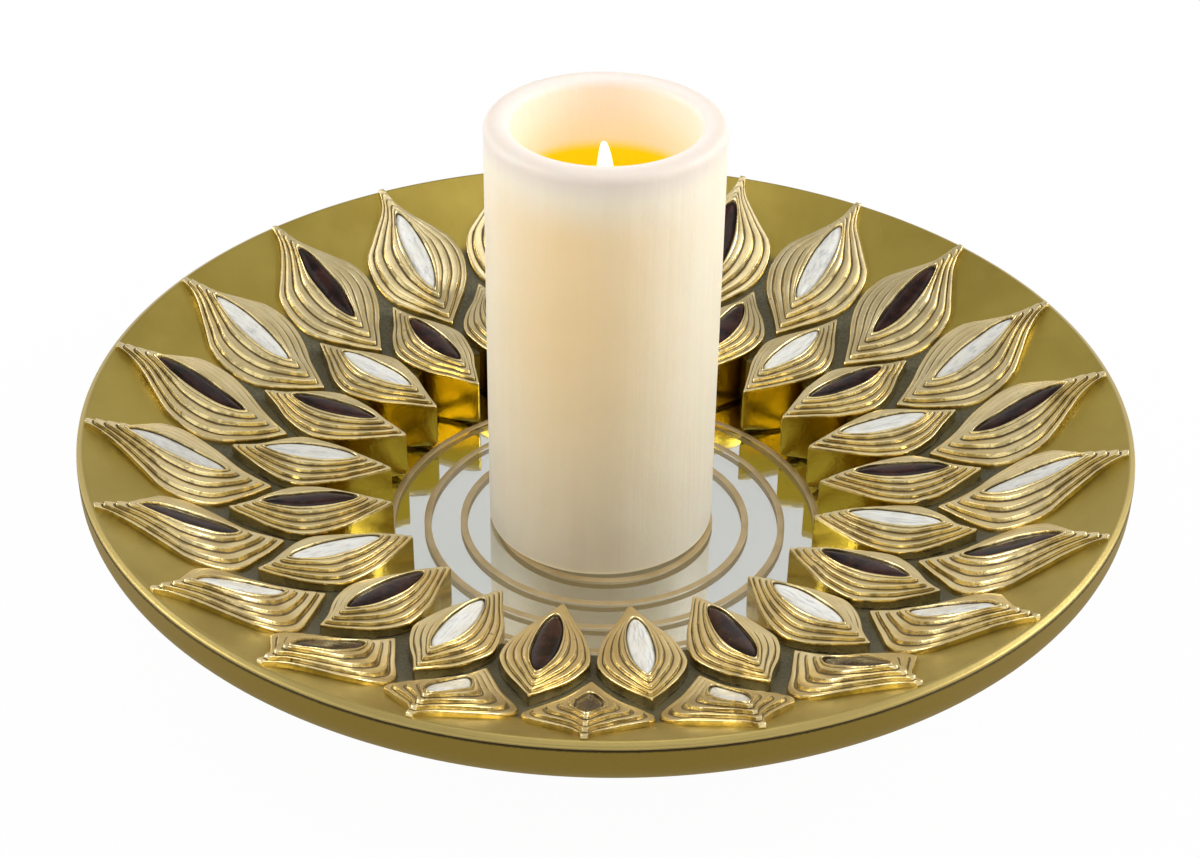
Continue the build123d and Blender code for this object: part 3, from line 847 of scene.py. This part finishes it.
# %% Flame
flame_outline = [(117.6, 2.1), (130.5, 2.1), (134, 2.7), (139.2, 3.2), (143, 3.05), (147, 2.5),
                 (150.5, 1.85), (152.8, 1.25), (154.0, 0.7), (154.4, 0.05)]
flame_low, flame_tall, flame_levels, flame_sides = 117.6, 36.8, 32, 16
half_thickness, thin_share, lean_start, tip_lean = 0.4, 0.3, 0.6, 0.6


def lit_flame():
    flame = Finish("flame")
    height, across = flame.axis("Z"), flame.axis("X") + 0.0015
    from_middle = (across * across) ** 0.5
    core = from_middle.ramp(0.0032, 0.0010) * height.ramp(0.127, 0.138)
    veins = flame.noise(0.004, detail=2.0)
    return flame.finish(Base_Color=flame.mix(veins, (0.9, 0.75, 0.5), (1.0, 0.85, 0.6)), Roughness=0.3,
                        Emission_Color=flame.mix(core, (1.0, 0.62, 0.22), (1.0, 0.93, 0.78)),
                        Emission_Strength=1.4)


def make_flame():
    corners = []
    for level in range(flame_levels + 1):
        share = math.sin(math.pi / 2 * level / flame_levels)
        height = flame_low + flame_tall * share
        half = smooth_through(flame_outline, height)
        lean = -tip_lean * max(0.0, (share - lean_start) / (1 - lean_start)) ** 2
        depth = min(half_thickness, half * thin_share)
        for side in range(flame_sides):
            angle = 2 * math.pi * side / flame_sides
            corners.append(Vector((candle_x + half * math.cos(angle) + lean,
                                   candle_y + depth * math.sin(angle), height)) * mm)
    last = flame_levels * flame_sides
    faces = ring_faces(flame_levels + 1, flame_sides)
    faces += [tuple(range(flame_sides)), tuple(range(last, last + flame_sides))]
    return add_piece("flame_leaf", corners, faces, lit_flame())


flame = make_flame()
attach(flame, "flame")
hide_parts("flame_blade")

# %% [markdown]
# ## Parts inside the candle and under the plate
# The well's floor, the core, the cells and the pads keep the solids' own meshes. They get a
# finish each, from one function: two shades in clouds, a grain, and a bump.

# %% Finishes of the inner parts
def plain_finish(name, dark, light, size, rough, metal=0.0, depth=0.00005, **more):
    finish = Finish(name)
    clouds = finish.noise(size, detail=4.0)
    grain = finish.noise(size * 0.08, detail=2.0)
    return finish.finish(Base_Color=finish.mix(clouds.ramp(0.3, 0.7), dark, light),
                         Roughness=rough + 0.12 * grain, Metallic=metal,
                         Normal=finish.bump(grain, depth), **more)


# Dark shade, light shade, size of the clouds, roughness, and where needed metal and depth.
shades = {
    "foam": ((0.62, 0.61, 0.58), (0.74, 0.73, 0.70), 0.004, 0.8, 0.0, 0.0003),
    "felt": ((0.010, 0.010, 0.011), (0.030, 0.029, 0.028), 0.003, 0.85, 0.0, 0.0005),
    "white_plastic": ((0.66, 0.65, 0.61), (0.72, 0.71, 0.67), 0.01, 0.4),
    "black_plastic": ((0.018, 0.018, 0.018), (0.030, 0.030, 0.030), 0.006, 0.45),
    "board": ((0.010, 0.075, 0.030), (0.020, 0.11, 0.045), 0.003, 0.3),
    "copper": ((0.42, 0.16, 0.07), (0.55, 0.23, 0.11), 0.002, 0.25, 1.0),
    "steel": ((0.48, 0.48, 0.49), (0.60, 0.60, 0.60), 0.003, 0.25, 1.0),
    "cell": ((0.16, 0.16, 0.17), (0.26, 0.26, 0.27), 0.006, 0.3, 0.6),
}
inner_finishes = {name: plain_finish(name, *values) for name, values in shades.items()}
# Painted light: the well's floor glows yellow, standing in for the hidden lamp shining through it.
inner_finishes["warm_plastic"] = plain_finish(
    "warm_plastic", (0.90, 0.60, 0.03), (0.95, 0.68, 0.05), 0.01, 0.4,
    Emission_Color=(0.85, 0.60, 0.0), Emission_Strength=0.5)
inner_finishes["lamp"] = plain_finish(
    "lamp", (0.9, 0.75, 0.45), (1.0, 0.85, 0.55), 0.003, 0.15,
    Emission_Color=(1.0, 0.8, 0.4), Emission_Strength=0.8)
slots = {part["node"]: part["material_slot"] for part in frame["record"]["subparts"]}
kept = [name for name in frame["nodes"] if slots[name] in inner_finishes]
for name in kept:
    materials = frame["nodes"][name].data.materials
    materials.clear()
    materials.append(inner_finishes[slots[name]])
print("solids kept:", kept)

# %% [markdown]
# ## Floor and light
# The photograph has a plain white ground. The floor is white paper that shows its full
# white to the camera, to reflections and through glass, and still takes a soft shadow.

# %% Floor
def paper():
    sheet = Finish("floor_paper")
    links, kinds = sheet.tree.links, ("Is Camera Ray", "Is Glossy Ray", "Is Transmission Ray")
    rays = sheet.tree.nodes.new("ShaderNodeLightPath")
    seen, glossy, through = (Value(sheet, rays.outputs[kind]) for kind in kinds)
    seen = seen.math("MAXIMUM", glossy).math("MAXIMUM", through)
    tone = sheet.noise(0.4, detail=2.0)
    sheet.finish(Base_Color=sheet.mix(tone, (0.80, 0.80, 0.80), (0.84, 0.84, 0.84)), Roughness=0.9)
    white = sheet.node("ShaderNodeEmission", None, {"Color": (1.0, 1.0, 1.0), "Strength": 1.0})
    mixed = sheet.node("ShaderNodeMixShader", None, {0: seen * 0.97})
    links.new(sheet.surface.outputs[0], mixed.socket.node.inputs[1])
    links.new(white.socket, mixed.socket.node.inputs[2])
    links.new(mixed.socket, sheet.end.inputs["Surface"])
    return sheet.material


reach = 4
floor_corners = [Vector(corner) for corner in ((-reach, -reach, 0), (reach, -reach, 0),
                                               (reach, reach, 0), (-reach, reach, 0))]
floor = add_piece("floor", floor_corners, [(0, 1, 2, 3)], paper(), smooth=False)

# %% [markdown]
# Large lamps stand right, left and above. The world is a white studio with two darker belts
# high up, one behind and beside the plate and a darker, narrower one towards the viewer.
# Polished gold needs something dark to mirror, or its steps can't be told apart.

# %% Lamps and world
lamp_aim = Vector((0, 0, 0.05))


def add_lamp(name, place, size, power):
    """A round area lamp that faces the middle of the plate."""
    light = bpy.data.lights.new(name, "AREA")
    light.shape, light.size, light.energy = "DISK", size, power
    lamp = bpy.data.objects.new(name, light)
    facing = (Vector(place) - lamp_aim).to_track_quat("Z", "Y")
    lamp.matrix_world = Matrix.Translation(Vector(place)) @ facing.to_matrix().to_4x4()
    bpy.context.scene.collection.objects.link(lamp)


add_lamp("key_right", (1.35, 0.1, 0.75), size=0.8, power=12.0)
add_lamp("fill_left", (-1.35, 0.0, 0.7), size=0.8, power=8.0)
add_lamp("top", (0.1, 0.2, 1.5), size=0.9, power=2.5)

world = bpy.data.worlds.new("studio")
world.use_nodes = True
bpy.context.scene.world = world
sky = Network(world.node_tree)
sky.tree.nodes.clear()
sky.place = sky.node("ShaderNodeTexCoord", out="Generated")
# Heights in the sky run from 0 at the horizon to 1 overhead.
height, front = sky.axis("Z"), sky.axis("Y").ramp(0.0, -0.35)
back_belt = height.ramp(0.66, 0.74) * height.ramp(0.95, 0.89) * (1.0 - front)
front_belt = height.ramp(0.84, 0.88) * height.ramp(0.965, 0.94) * front
tone = sky.mix(height.ramp(0.25, 0.6), (1.0, 1.0, 1.0), (0.82, 0.82, 0.82))
tone = sky.mix(back_belt, tone, (0.34, 0.34, 0.35))
tone = sky.mix(front_belt, tone, (0.05, 0.05, 0.05))
tone = sky.mix(height.ramp(0.90, 0.97), tone, (0.85, 0.85, 0.85))
ground = sky.node("ShaderNodeBackground", None, {"Color": tone, "Strength": 1.0})
end = sky.tree.nodes.new("ShaderNodeOutputWorld")
sky.tree.links.new(ground.socket, end.inputs["Surface"])
bpy.context.scene.view_settings.view_transform = "Standard"
